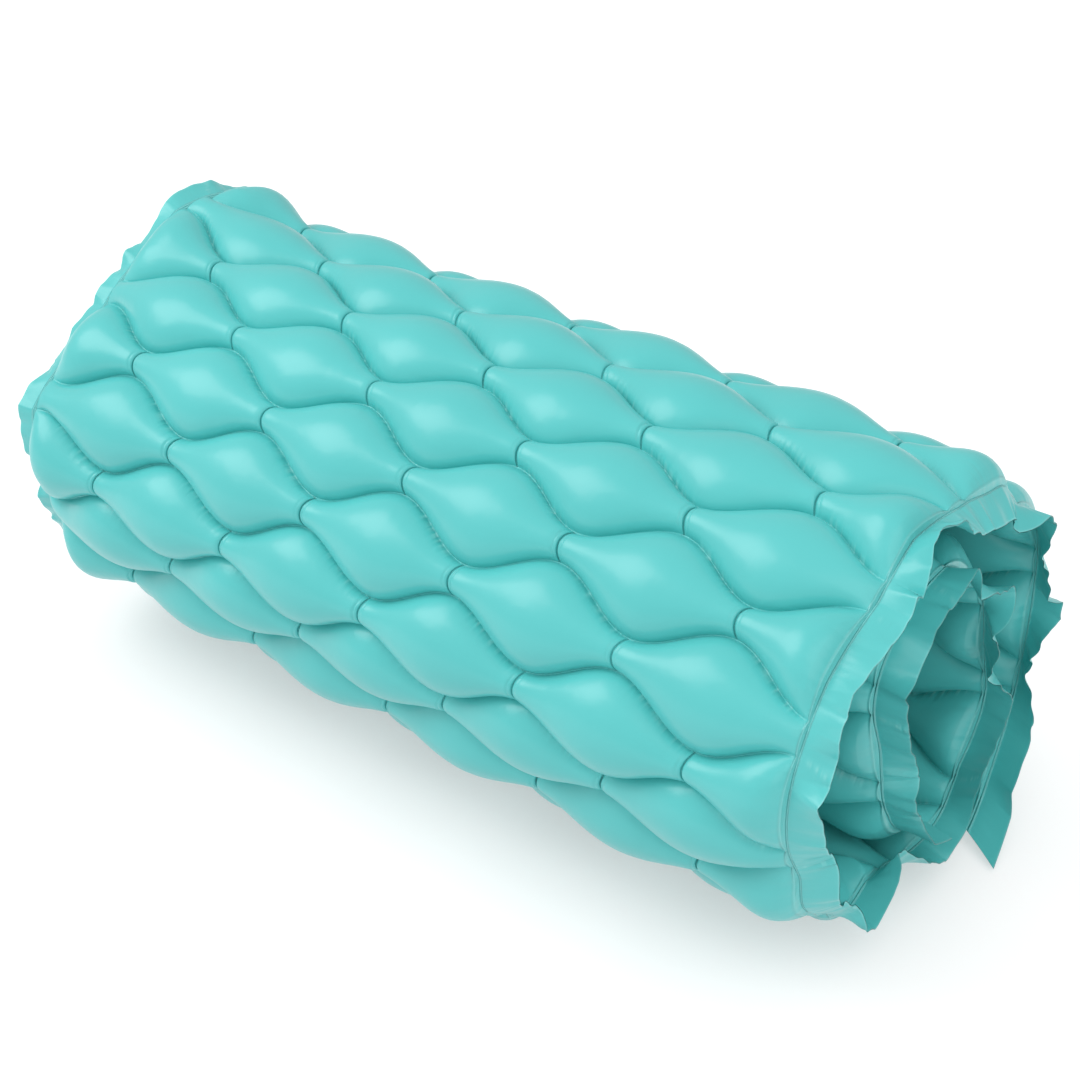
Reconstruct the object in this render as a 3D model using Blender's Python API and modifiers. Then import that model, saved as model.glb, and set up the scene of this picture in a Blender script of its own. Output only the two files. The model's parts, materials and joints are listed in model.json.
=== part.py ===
"""A quilted vinyl pool mat with wavy air channels, rolled up loosely and lying on a floor.

The roll lies along X with its open near end at +X, its front at -Y and the floor at z = 0.
The mat is one band that starts at its outer end, low at the back of the roll, climbs the back,
passes over the top, down the front and along the floor, and then curls up inside.
Each air channel runs along X as a chain of bulges between two wavy weld seams.
All lengths are in metres.
"""

import math

import bmesh
import bpy
import numpy as np
from mathutils import Matrix, Vector

# Driving dimensions of the mat
CHANNELS = 31
WAVES = 5
WAVE_LENGTH = 0.142
CHANNEL_PITCH = 0.051
SEAM_SWING = 0.0150
NECK_HALF_THICKNESS = 0.0095
BULGE_HALF_THICKNESS = 0.0220
CLOSING_LENGTH = 0.035
HEM_WIDTH = 0.025
HEM_THICKNESS = 0.0010
HEM_RUFFLE = 0.012
HEM_FOLDS = 10
GAP = 0.0003

# The roll lies on the floor, cut flat where it touches, with the origin under this channel
REST_CHANNEL = 18
FLOOR_CUT = 0.0005

# The roll's section is an ellipse that is lower than it is wide and lies flat on the floor.
# Its size follows from the length of the mat.
HEIGHT_SHARE = 0.912
FLAT_SHARE = 0.962
FLAT_BLEND_SHARE = 0.010

# Where the mat runs: turns counted from the back of the roll, and the share of the ellipse
# that it keeps there
WRAP_SHARES = (
    (-0.156, 1.20),
    (-0.100, 1.13),
    (-0.050, 1.05),
    (0.000, 1.00),
    (0.060, 1.03),
    (0.110, 1.005),
    (0.140, 0.98),
    (0.165, 1.04),
    (0.190, 1.00),
    (0.215, 1.00),
    (0.250, 0.99),
    (0.330, 0.98),
    (0.420, 1.00),
    (0.500, 1.02),
    (0.560, 0.965),
    (0.600, 1.00),
    (0.630, 0.92),
    (0.660, 0.89),
    (0.690, 0.965),
    (0.720, 1.03),
    (0.750, 1.06),
    (0.790, 1.05),
    (0.860, 0.92),
    (0.930, 0.74),
    (1.010, 0.61),
    (1.110, 0.62),
    (1.210, 0.68),
    (1.280, 0.67),
    (1.385, 0.525),
    (1.467, 0.355),
    (1.604, 0.375),
    (1.686, 0.53),
    (1.739, 0.68),
    (1.785, 0.75),
)
WRAP_SAMPLES = 4000

# How the roll's two ends depart from its middle: turns as above, and the share of the ellipse
# that is added at the hem's edge, growing over the drift's length
DRIFT_LENGTH = 0.120
NEAR_DRIFT_SHARES = (
    (0.230, 0.00),
    (0.285, 0.10),
    (0.330, -0.02),
    (0.390, 0.06),
    (0.450, 0.03),
    (0.500, -0.03),
    (0.560, -0.06),
    (0.600, -0.02),
    (0.625, 0.06),
    (0.655, 0.16),
    (0.676, 0.08),
    (0.692, -0.17),
    (0.712, -0.24),
    (0.750, -0.10),
    (0.780, -0.06),
    (0.815, -0.13),
    (0.850, -0.22),
    (0.906, -0.08),
    (0.930, -0.07),
    (0.960, -0.14),
    (1.010, -0.16),
    (1.080, -0.12),
    (1.114, -0.08),
    (1.160, -0.14),
    (1.233, 0.08),
    (1.290, 0.04),
    (1.360, 0.06),
    (1.440, 0.00),
    (1.616, -0.16),
    (1.700, -0.10),
    (1.785, 0.12),
)
FAR_DRIFT_SHARES = (
    (0.120, 0.00),
    (0.204, 0.20),
    (0.248, 0.17),
    (0.284, 0.02),
    (0.343, -0.08),
    (0.400, -0.02),
    (0.442, 0.08),
    (0.497, -0.03),
    (0.560, 0.03),
    (0.620, 0.00),
)

# The outermost corner at the near end is drawn along the roll, under it and down, falling off
# over this length of the band
CORNER_REACH = 0.127
CORNER_PULL = (0.022, -0.050, -0.018)

# A channel's section: share of its half width, share of its half thickness
SECTION_SHARES = ((-1, 0), (-0.5, 1), (0.5, 1), (1, 0), (0.5, -1), (-0.5, -1))
QUARTERS = 4
FIRST_RISE_SHARE = 0.3
THICKENING_POWER = 0.8

# The valve, on the back of the roll near its far end
VALVE_CHANNEL = 4
VALVE_HALF_WAVES = 1
FLANGE_RADIUS = 0.0170
FLANGE_THICKNESS = 0.0016
FLANGE_SEAT_DEPTH = 0.0035
STEM_RADIUS = 0.0080
STEM_BORE_RADIUS = 0.0050
STEM_RUNNING_GAP = 0.0004
STEM_HEIGHT = 0.0120
STEM_DEPTH = 0.0110
PRESS_TRAVEL = 0.0080
LIP_RADIUS = 0.0095
LIP_THICKNESS = 0.0020
SHELL_BORE_RADIUS = 0.0105
BORE_CLEARANCE = 0.0010
CHECK_THICKNESS = 0.0010
CHECK_RADIUS = 0.0065
CHECK_SWING = math.radians(45)
PLUG_DEPTH = 0.0090
CAP_RADIUS = 0.0098
CAP_THICKNESS = 0.0022
CAP_BULGE = 0.0008
STRAP_WIDTH = 0.0050
STRAP_THICKNESS = 0.0008
STRAP_REACH = 0.0050
STRAP_STEPS = 12
TURNED_STEPS = 24

# Seams from the outer end inwards that open when the roll is peeled
LOOSE_SEAMS = 8
FIRST_TOP_SEAM = 6
TOP_AXIS_LIFT = 0.018

MESH_WELD = 0.00001
MATERIALS = {
    "mat_vinyl": ((0.112, 0.637, 0.617), 0.34),
    "hem_vinyl": ((0.145, 0.680, 0.655), 0.38),
    "valve_vinyl": ((0.62, 0.80, 0.79), 0.30),
}


def clear_scene():
    """Removes every object from the scene."""
    for item in list(bpy.data.objects):
        bpy.data.objects.remove(item, do_unlink=True)


def collection(name):
    """A new collection in the scene."""
    group = bpy.data.collections.new(name)
    bpy.context.scene.collection.children.link(group)
    return group


def vinyl(node, kind):
    """A node's own vinyl material."""
    colour, roughness = MATERIALS[kind]
    material = bpy.data.materials.new(f"{node}_{kind}")
    material.use_nodes = True
    shader = material.node_tree.nodes["Principled BSDF"]
    shader.inputs["Base Color"].default_value = (*colour, 1)
    shader.inputs["Roughness"].default_value = roughness
    shader.inputs["Metallic"].default_value = 0
    return material


def smooth_through(x, knots, values):
    """A smooth curve through the knots: a cubic between neighbours, with shared slopes."""
    slopes = np.gradient(values, knots)
    left = np.clip(np.searchsorted(knots, x, side="right") - 1, 0, len(knots) - 2)
    width = knots[left + 1] - knots[left]
    t = (x - knots[left]) / width
    rise = values[left] * (2 * t**3 - 3 * t**2 + 1) + values[left + 1] * (3 * t**2 - 2 * t**3)
    run = slopes[left] * (t**3 - 2 * t**2 + t) + slopes[left + 1] * (t**3 - t**2)
    return rise + width * run


def mat_path(length):
    """The mat's middle line in the YZ plane, with the turn and the length run at each point."""
    turns, shares = np.array(WRAP_SHARES).T
    turn = np.linspace(turns[0], turns[-1], WRAP_SAMPLES)
    share = smooth_through(turn, turns, shares)
    angle = math.tau * turn
    y = share * np.cos(angle)
    z = HEIGHT_SHARE * share * np.sin(angle)
    # the floor holds the mat up: the low part of the curve is laid flat
    flat = HEIGHT_SHARE * FLAT_SHARE
    z = np.logaddexp(z / FLAT_BLEND_SHARE, -flat / FLAT_BLEND_SHARE) * FLAT_BLEND_SHARE
    run = np.concatenate([[0], np.cumsum(np.hypot(np.diff(y), np.diff(z)))])
    # the roll is as large as the mat's length makes it
    half_width = length / run[-1]
    return turn, half_width * run, half_width * np.stack([y, z], axis=1)


HALF_SPAN = WAVES * WAVE_LENGTH / 2
EDGE = HALF_SPAN + HEM_WIDTH
MAT_LENGTH = CHANNELS * CHANNEL_PITCH + 2 * HEM_WIDTH
TURN, RUN, PATH = mat_path(MAT_LENGTH)
TANGENT = np.gradient(PATH, RUN, axis=0)
TANGENT /= np.linalg.norm(TANGENT, axis=1)[:, None]
OUTWARD = np.stack([TANGENT[:, 1], -TANGENT[:, 0]], axis=1)
FLOOR = PATH[:, 1].min() - BULGE_HALF_THICKNESS + FLOOR_CUT
REST = np.interp(HEM_WIDTH + (REST_CHANNEL - 1 / 2) * CHANNEL_PITCH, RUN, PATH[:, 0])


def end_growth(x, side):
    """What grows from nothing at the drift's start to 1 at the hem's edge of one of the ends."""
    return np.clip((side * x - EDGE + DRIFT_LENGTH) / DRIFT_LENGTH, 0, 1) ** 2


def end_drift(x, s):
    """How much further out the mat lies near the roll's two ends, as a share of the ellipse."""
    drift = np.zeros(np.shape(x))
    turn = np.interp(s, RUN, TURN)
    for side, knots in ((1, NEAR_DRIFT_SHARES), (-1, FAR_DRIFT_SHARES)):
        turns, shares = np.array(knots).T
        drift += end_growth(x, side) * np.interp(turn, turns, shares)
    return drift


def corner_pull(x, s):
    """How far the near end's outermost corner is drawn away."""
    share = end_growth(x, 1) * np.clip(1 - s / CORNER_REACH, 0, 1) ** 2
    return share[..., None] * np.array(CORNER_PULL)


def place(x, s, lift):
    """World points for places on the mat: x along the roll, s along the band, lift outwards."""
    x, s, lift = np.broadcast_arrays(x, s, lift)
    at = np.stack([np.interp(s, RUN, PATH[:, i]) for i in range(2)], axis=-1)
    at *= 1 + end_drift(x, s)[..., None]
    out = np.stack([np.interp(s, RUN, OUTWARD[:, i]) for i in range(2)], axis=-1)
    out /= np.linalg.norm(out, axis=-1)[..., None]
    yz = at + out * lift[..., None]
    point = np.stack([x, yz[..., 0] - REST, yz[..., 1] - FLOOR], axis=-1)
    return point + corner_pull(x, s)


def seam(index, x):
    """Where seam number index lies along the band. Neighbouring seams swing opposite ways."""
    swing = SEAM_SWING if 0 < index < CHANNELS else 0
    wave = np.cos(math.tau * (x + HALF_SPAN) / WAVE_LENGTH)
    return HEM_WIDTH + index * CHANNEL_PITCH - swing * (-1) ** index * wave


def half_thickness(width, x):
    """Half the mat's thickness at a channel's crest: more where it is wide, none at the hem."""
    narrow, wide = CHANNEL_PITCH - 2 * SEAM_SWING, CHANNEL_PITCH + 2 * SEAM_SWING
    openness = np.clip((width - narrow) / (wide - narrow), 0, 1) ** THICKENING_POWER
    full = NECK_HALF_THICKNESS + (BULGE_HALF_THICKNESS - NECK_HALF_THICKNESS) * openness
    inside = np.clip((HALF_SPAN - np.abs(x)) / CLOSING_LENGTH, 0, 1)
    closing = np.sqrt(1 - (1 - inside) ** 2)
    return np.maximum(full * closing, HEM_THICKNESS / 2)


def stations():
    """Places along the roll where a channel's section is set, from one hem's edge to the other."""
    quarters = np.linspace(-HALF_SPAN, HALF_SPAN, WAVES * QUARTERS + 1)
    rise = HALF_SPAN - FIRST_RISE_SHARE * CLOSING_LENGTH
    return np.sort(np.concatenate([quarters, [-rise, rise, -EDGE, EDGE]]))


def seam_ruffle(index):
    """How far the side hem's free edge stands out of the mat at a seam, in and out in turn."""
    return HEM_RUFFLE * (-1) ** index if 0 < index < CHANNELS else 0


def hem_lift(index, x, across):
    """The ruffle of a channel's side hems, from one seam to the next and growing to the edge."""
    beyond = np.clip(np.abs(x) - HALF_SPAN, 0, None) / HEM_WIDTH
    middle = (seam_ruffle(index) + seam_ruffle(index + 1)) / 2
    lean = (seam_ruffle(index + 1) - seam_ruffle(index)) / 2
    return beyond * (middle + lean * across)


def loft(name, rings, group, kind):
    """A closed body through rings of points, with flat ends. Each ring runs out along one face of
    the mat and back along the other, and both faces are split along the same diagonals, so that
    they never meet where the mat is thin and twisted.
    """
    count, sides = rings.shape[:2]
    faces = []
    for a in range(count - 1):
        for b in range(sides):
            here, beside = a * sides + b, a * sides + (b + 1) % sides
            ahead, across = here + sides, beside + sides
            if b < sides // 2:
                faces += [(here, beside, across), (here, across, ahead)]
            else:
                faces += [(here, beside, ahead), (beside, across, ahead)]
    faces.append(tuple(reversed(range(sides))))
    faces.append(tuple(range((count - 1) * sides, count * sides)))
    mesh = bpy.data.meshes.new(name)
    mesh.from_pydata(rings.reshape(-1, 3).tolist(), [], faces)
    work = bmesh.new()
    work.from_mesh(mesh)
    bmesh.ops.recalc_face_normals(work, faces=work.faces)
    work.to_mesh(mesh)
    work.free()
    item = bpy.data.objects.new(name, mesh)
    item.data.materials.append(vinyl(name, kind))
    group.objects.link(item)
    return item


def cut_at_floor(item):
    """Trims what reaches below the floor and closes the cuts with flat faces."""
    work = bmesh.new()
    work.from_mesh(item.data)
    if min(v.co.z for v in work.verts) < 0:
        everything = work.verts[:] + work.edges[:] + work.faces[:]
        bmesh.ops.bisect_plane(
            work,
            geom=everything,
            dist=MESH_WELD,
            plane_co=(0, 0, 0),
            plane_no=(0, 0, 1),
            clear_inner=True,
        )
        rims = [edge for edge in work.edges if edge.is_boundary]
        bmesh.ops.holes_fill(work, edges=rims, sides=0)
        bmesh.ops.recalc_face_normals(work, faces=work.faces)
    work.to_mesh(item.data)
    work.free()


def seam_middle(index):
    """The middle of seam number index, half way between its swings: the axis that it bends on.
    The roll's end flares at the uppermost ones, so their axis lies nearer the crests' height."""
    lift = TOP_AXIS_LIFT if index >= FIRST_TOP_SEAM else 0
    return Vector(place(0, HEM_WIDTH + index * CHANNEL_PITCH, lift))


def set_origin(item, point):
    """Puts the object's origin at a point and leaves its shape where it is."""
    item.data.transform(Matrix.Translation(-point))
    item.location = point


def carry(parent, child):
    """The child moves with its parent from now on, and stays where it is."""
    bpy.context.view_layer.update()
    child.parent = parent
    child.matrix_parent_inverse = parent.matrix_world.inverted()


def channel(index, group):
    """Air channel number index, counted from the outer end, with its part of the side hems."""
    x = stations()
    left = seam(index, x) + GAP / 2
    right = seam(index + 1, x) - GAP / 2
    height = half_thickness(right - left, x)
    across, thick = np.array(SECTION_SHARES, float).T
    s = (left + right)[:, None] / 2 + (right - left)[:, None] / 2 * across
    lift = height[:, None] * thick + hem_lift(index, x[:, None], across)
    item = loft(f"channel_{index + 1:02d}", place(x[:, None], s, lift), group, "mat_vinyl")
    cut_at_floor(item)
    return item


def end_hem(name, seam_index, side, group):
    """The flat hem across one end of the mat, from its straight weld to its free edge."""
    x = stations()
    weld = seam(seam_index, 0) + side * GAP / 2
    edge = weld + side * (HEM_WIDTH - GAP)
    folds = np.linspace(-EDGE, EDGE, HEM_FOLDS + 1)
    heights = HEM_RUFFLE * (-1.0) ** np.arange(len(folds))
    heights[[0, -1]] = 0
    ruffle = np.interp(x, folds, heights)
    skin = HEM_THICKNESS / 2
    s = np.array([weld, edge, edge, weld])
    lift = np.outer(ruffle, [0, 1, 1, 0]) + np.array([skin, skin, -skin, -skin])
    return loft(name, place(x[:, None], s, lift), group, "hem_vinyl")


def valve_frame():
    """Where the valve stands: origin on the bulge's crest, Z out of the mat, X along the roll."""
    x = VALVE_HALF_WAVES * WAVE_LENGTH / 2 - HALF_SPAN
    index = VALVE_CHANNEL - 1
    middle = (seam(index, x) + seam(index + 1, x)) / 2
    crest = half_thickness(seam(index + 1, x) - seam(index, x), x)
    low, high = (Vector(place(x, middle, lift)) for lift in (0, crest))
    out = (high - low).normalized()
    along = Vector((1, 0, 0))
    frame = Matrix((along, out.cross(along), out)).transposed().to_4x4()
    frame.translation = high - out * FLANGE_SEAT_DEPTH
    return frame


def turned(name, profile, group, kind, frame):
    """A round piece: its outline of (radius, height) points is turned about the valve's axis."""
    mesh = bpy.data.meshes.new(name)
    points = [(radius, 0, height) for radius, height in profile]
    edges = [(i, i + 1) for i in range(len(points) - 1)]
    if profile[0][0] > 0:
        edges.append((len(points) - 1, 0))
    mesh.from_pydata(points, edges, [])
    item = bpy.data.objects.new(name, mesh)
    group.objects.link(item)
    screw = item.modifiers.new("turn", "SCREW")
    screw.steps = screw.render_steps = TURNED_STEPS
    screw.use_merge_vertices = True
    screw.merge_threshold = MESH_WELD
    item.matrix_world = frame
    item.data.materials.append(vinyl(name, kind))
    return item


def cut(target, cutter):
    """Takes the cutter's shape out of the target."""
    cutter.hide_render = True
    cutter.display_type = "WIRE"
    modifier = target.modifiers.new("cut", "BOOLEAN")
    modifier.operation = "DIFFERENCE"
    modifier.solver = "EXACT"
    modifier.object = cutter


def valve_seat(group, frame):
    """The cutter for the flange's flat seat and the bore below it that the stem slides into."""
    above = BULGE_HALF_THICKNESS
    swing = 2 * CHECK_RADIUS * math.sin(CHECK_SWING) + CHECK_THICKNESS
    depth = STEM_DEPTH + PRESS_TRAVEL + swing + BORE_CLEARANCE
    profile = [
        (0, above),
        (FLANGE_RADIUS + GAP, above),
        (FLANGE_RADIUS + GAP, -GAP),
        (SHELL_BORE_RADIUS, -GAP),
        (SHELL_BORE_RADIUS, -depth),
        (0, -depth),
    ]
    return turned("valve_seat_cutter", profile, group, "valve_vinyl", frame)


def valve_flange(group, frame):
    """The ring that is welded to the mat and guides the stem."""
    inner = STEM_RADIUS + STEM_RUNNING_GAP
    profile = [
        (FLANGE_RADIUS, FLANGE_THICKNESS),
        (FLANGE_RADIUS, 0),
        (inner, 0),
        (inner, FLANGE_THICKNESS),
    ]
    return turned("valve_flange", profile, group, "valve_vinyl", frame)


def valve_stem(group, frame):
    """The hollow stem, with a lip at its mouth."""
    profile = [
        (LIP_RADIUS, STEM_HEIGHT),
        (LIP_RADIUS, STEM_HEIGHT - LIP_THICKNESS),
        (STEM_RADIUS, STEM_HEIGHT - LIP_THICKNESS),
        (STEM_RADIUS, -STEM_DEPTH),
        (STEM_BORE_RADIUS, -STEM_DEPTH),
        (STEM_BORE_RADIUS, STEM_HEIGHT),
    ]
    return turned("valve_stem", profile, group, "valve_vinyl", frame)


def check_flap(group, frame):
    """The leaf under the stem that lets air in and not out, hinged at one edge."""
    top = -STEM_DEPTH - GAP
    profile = [
        (0, top),
        (CHECK_RADIUS, top),
        (CHECK_RADIUS, top - CHECK_THICKNESS),
        (0, top - CHECK_THICKNESS),
    ]
    leaf = turned("check_flap_turned", profile, group, "valve_vinyl", frame)
    # the leaf swings on its edge, so its origin is moved there once it is a mesh
    bpy.context.view_layer.update()
    shape = leaf.evaluated_get(bpy.context.evaluated_depsgraph_get())
    item = bpy.data.objects.new("check_flap", bpy.data.meshes.new_from_object(shape))
    bpy.data.objects.remove(leaf)
    group.objects.link(item)
    hinge = Matrix.Translation((0, -CHECK_RADIUS, top))
    item.data.transform(hinge.inverted())
    item.matrix_world = frame @ hinge
    return item


def valve_plug(group, frame):
    """The plug: a spigot that fills the stem's mouth, under a slightly domed cap."""
    base = STEM_HEIGHT + GAP
    spigot = STEM_BORE_RADIUS - GAP
    profile = [
        (0, base + CAP_THICKNESS + CAP_BULGE),
        (CAP_RADIUS / 2, base + CAP_THICKNESS + CAP_BULGE / 2),
        (CAP_RADIUS, base + CAP_THICKNESS),
        (CAP_RADIUS, base),
        (spigot, base),
        (spigot, STEM_HEIGHT - PLUG_DEPTH),
        (0, STEM_HEIGHT - PLUG_DEPTH),
    ]
    return turned("valve_plug", profile, group, "valve_vinyl", frame)


def plug_strap(group, frame):
    """The short band that loops out from the lip's rim and back to the cap's rim."""
    low = STEM_HEIGHT - LIP_THICKNESS / 2
    high = STEM_HEIGHT + GAP + CAP_THICKNESS / 2
    turn = np.linspace(0, math.pi, STRAP_STEPS + 1)
    # a flat band beside a round rim meets it in the middle of its width
    radius = CAP_RADIUS + GAP + STRAP_REACH * np.sin(turn)
    height = (low + high) / 2 - (high - low) / 2 * np.cos(turn)
    mesh = bpy.data.meshes.new("plug_strap")
    points = [
        (side * STRAP_WIDTH / 2, r, z) for r, z in zip(radius, height) for side in (-1, 1)
    ]
    faces = [(2 * i, 2 * i + 1, 2 * i + 3, 2 * i + 2) for i in range(STRAP_STEPS)]
    mesh.from_pydata(points, [], faces)
    item = bpy.data.objects.new("plug_strap", mesh)
    group.objects.link(item)
    item.matrix_world = frame
    shell = item.modifiers.new("thickness", "SOLIDIFY")
    shell.thickness = STRAP_THICKNESS
    shell.offset = 0
    item.data.materials.append(vinyl("plug_strap", "valve_vinyl"))
    return item


def main():
    """Builds the whole mat."""
    clear_scene()
    parts = collection("pool_float")
    cutters = collection("cutters")
    channels = [channel(index, parts) for index in range(CHANNELS)]
    outer_hem = end_hem("outer_end_hem", 0, -1, parts)
    inner_hem = end_hem("inner_end_hem", CHANNELS, 1, parts)

    # each loose channel turns on the seam to its inner neighbour, which carries it
    for number in range(LOOSE_SEAMS, 0, -1):
        set_origin(channels[number - 1], seam_middle(number))
        carry(channels[number], channels[number - 1])
    set_origin(outer_hem, seam_middle(1))
    carry(channels[0], outer_hem)
    carry(channels[-1], inner_hem)

    frame = valve_frame()
    panel = channels[VALVE_CHANNEL - 1]
    cut(panel, valve_seat(cutters, frame))
    carry(panel, valve_flange(parts, frame))
    stem = valve_stem(parts, frame)
    carry(panel, stem)
    for make in (check_flap, valve_plug, plug_strap):
        carry(stem, make(parts, frame))
    size = np.ptp(PATH, axis=0)
    print("mat length", round(MAT_LENGTH, 4), "middle line", np.round(size, 4))


main()
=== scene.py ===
# %% [markdown]
# A quilted pool mat, inflated and rolled up, lying on a pale floor. The lesson builds its looks
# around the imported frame, which holds the real sizes, the bodies and the joints.
# Everything is in metres, with X along the roll, the near open end at +X and +Z up.

# %% Load the frame
import json
import math

import bmesh
import bpy
import numpy as np
from mathutils import Matrix, Vector

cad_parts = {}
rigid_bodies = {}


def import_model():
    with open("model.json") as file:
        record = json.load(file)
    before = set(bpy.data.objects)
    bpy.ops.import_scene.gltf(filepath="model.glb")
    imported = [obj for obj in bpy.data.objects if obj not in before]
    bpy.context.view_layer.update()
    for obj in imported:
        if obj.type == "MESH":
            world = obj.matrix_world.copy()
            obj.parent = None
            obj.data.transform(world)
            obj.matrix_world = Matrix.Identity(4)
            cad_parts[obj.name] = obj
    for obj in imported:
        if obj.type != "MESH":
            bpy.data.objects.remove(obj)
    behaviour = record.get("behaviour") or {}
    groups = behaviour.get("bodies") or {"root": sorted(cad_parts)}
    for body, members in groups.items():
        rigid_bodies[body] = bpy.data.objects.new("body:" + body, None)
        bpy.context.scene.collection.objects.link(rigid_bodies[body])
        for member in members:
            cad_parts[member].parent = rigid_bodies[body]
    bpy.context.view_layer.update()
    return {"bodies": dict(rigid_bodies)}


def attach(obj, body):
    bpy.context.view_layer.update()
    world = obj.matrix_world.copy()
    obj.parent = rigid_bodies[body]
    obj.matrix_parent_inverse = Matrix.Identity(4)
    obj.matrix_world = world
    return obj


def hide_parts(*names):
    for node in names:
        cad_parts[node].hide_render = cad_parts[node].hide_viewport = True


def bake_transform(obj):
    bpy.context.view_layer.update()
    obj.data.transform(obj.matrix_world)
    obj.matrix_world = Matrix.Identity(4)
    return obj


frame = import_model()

# %% [markdown]
# The mat is one band, 31 air channels long, that is wound into a loose roll. The channels' pitch,
# the waves and the thickness of the bulges are those of the construction. The film's weld seams
# swing 1.3 mm less than the seams there and the necks stand 1.5 mm higher, as the photograph shows.

# %% The mat's sizes
CHANNELS = 31
WAVES = 5
WAVE_LENGTH = 0.142
CHANNEL_PITCH = 0.051
SEAM_SWING = 0.0137
NECK_HALF_THICKNESS = 0.0110
BULGE_HALF_THICKNESS = 0.0220
CLOSING_LENGTH = 0.035
HEM_WIDTH = 0.025
REST_CHANNEL = 18
FLOOR_CUT = 0.0005
HALF_SPAN = WAVES * WAVE_LENGTH / 2
EDGE = HALF_SPAN + HEM_WIDTH
MAT_LENGTH = CHANNELS * CHANNEL_PITCH + 2 * HEM_WIDTH
print("the mat is", round(2 * EDGE, 3), "by", round(MAT_LENGTH, 3), "m when inflated")

# %% [markdown]
# The roll's section is a spiral on an ellipse. A list of turns, counted from the back, says what
# share of the ellipse the mat keeps there, and the low part is laid flat on the floor. A smooth
# cubic runs through the list, and an average over neighbours eases its corners. The spiral's size
# follows from the mat's length.

# %% The spiral
HEIGHT_SHARE = 0.912
FLAT_SHARE = 0.962
FLAT_BLEND_SHARE = 0.010
WRAP_SHARES = (
    (-0.156, 1.20),
    (-0.100, 1.13),
    (-0.050, 1.05),
    (0.000, 1.00),
    (0.060, 1.03),
    (0.110, 1.005),
    (0.140, 0.98),
    (0.165, 1.04),
    (0.190, 1.00),
    (0.215, 1.00),
    (0.250, 0.99),
    (0.330, 0.98),
    (0.420, 1.00),
    (0.500, 1.02),
    (0.560, 0.965),
    (0.600, 1.00),
    (0.630, 0.92),
    (0.660, 0.89),
    (0.690, 0.965),
    (0.720, 1.03),
    (0.750, 1.06),
    (0.790, 1.05),
    (0.860, 0.92),
    (0.930, 0.74),
    (1.010, 0.61),
    (1.110, 0.62),
    (1.210, 0.68),
    (1.280, 0.67),
    (1.385, 0.525),
    (1.467, 0.355),
    (1.604, 0.375),
    (1.686, 0.53),
    (1.739, 0.68),
    (1.785, 0.75),
)
WRAP_SAMPLES = 4000
EASING_LENGTH = 0.010
EASING_REACH = 3


def smooth_through(x, knots, values):
    """A cubic between neighbouring knots, whose slopes are those of the neighbours' chords."""
    slopes = np.gradient(values, knots)
    left = np.clip(np.searchsorted(knots, x, side="right") - 1, 0, len(knots) - 2)
    width = knots[left + 1] - knots[left]
    t = (x - knots[left]) / width
    rise = values[left] * (2 * t**3 - 3 * t**2 + 1) + values[left + 1] * (3 * t**2 - 2 * t**3)
    run = slopes[left] * (t**3 - 2 * t**2 + t) + slopes[left + 1] * (t**3 - t**2)
    return rise + width * run


def mat_path(length):
    """Share times (cos, sin) of the turn, laid flat at the floor by a soft maximum, then scaled
    so that its length is the mat's. Gives the turn, the run and the place of each sample."""
    turns, shares = np.array(WRAP_SHARES).T
    turn = np.linspace(turns[0], turns[-1], WRAP_SAMPLES)
    share = smooth_through(turn, turns, shares)
    y = share * np.cos(math.tau * turn)
    z = HEIGHT_SHARE * share * np.sin(math.tau * turn)
    flat = HEIGHT_SHARE * FLAT_SHARE
    z = np.logaddexp(z / FLAT_BLEND_SHARE, -flat / FLAT_BLEND_SHARE) * FLAT_BLEND_SHARE
    run = np.concatenate([[0], np.cumsum(np.hypot(np.diff(y), np.diff(z)))])
    half_width = length / run[-1]
    return turn, half_width * run, half_width * np.stack([y, z], axis=1)


def eased(turn, run, path):
    """The same path on even steps, with its corners eased by a bell-shaped average of neighbours.
    Beyond its ends the path is taken to go on straight."""
    even = np.linspace(0, run[-1], WRAP_SAMPLES)
    step = even[1]
    reach = round(EASING_REACH * EASING_LENGTH / step)
    weights = np.exp(-((np.arange(-reach, reach + 1) * step / EASING_LENGTH) ** 2))
    weights /= weights.sum()
    columns = []
    for values in path.T:
        values = np.interp(even, run, values)
        longer = np.pad(values, reach, mode="reflect", reflect_type="odd")
        columns.append(np.convolve(longer, weights, mode="valid"))
    return np.interp(even, run, turn), even, np.stack(columns, axis=1)


TURN, RUN, PATH = eased(*mat_path(MAT_LENGTH))
TANGENT = np.gradient(PATH, RUN, axis=0)
TANGENT /= np.linalg.norm(TANGENT, axis=1)[:, None]
OUTWARD = np.stack([TANGENT[:, 1], -TANGENT[:, 0]], axis=1)
FLOOR = PATH[:, 1].min() - BULGE_HALF_THICKNESS + FLOOR_CUT
REST = np.interp(HEM_WIDTH + (REST_CHANNEL - 1 / 2) * CHANNEL_PITCH, RUN, PATH[:, 0])
print("the spiral's middle line spans", np.round(np.ptp(PATH, axis=0), 3), "m")

# %% [markdown]
# The roll's two ends are less even than its middle: the mat is drawn in low at the front of the
# near end and flares a little at the top. Shares again say how far, growing over the last
# stretch of the roll. The place function then turns mat coordinates into points: x along the
# roll, s along the band, and the lift out of the band's middle.

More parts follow.
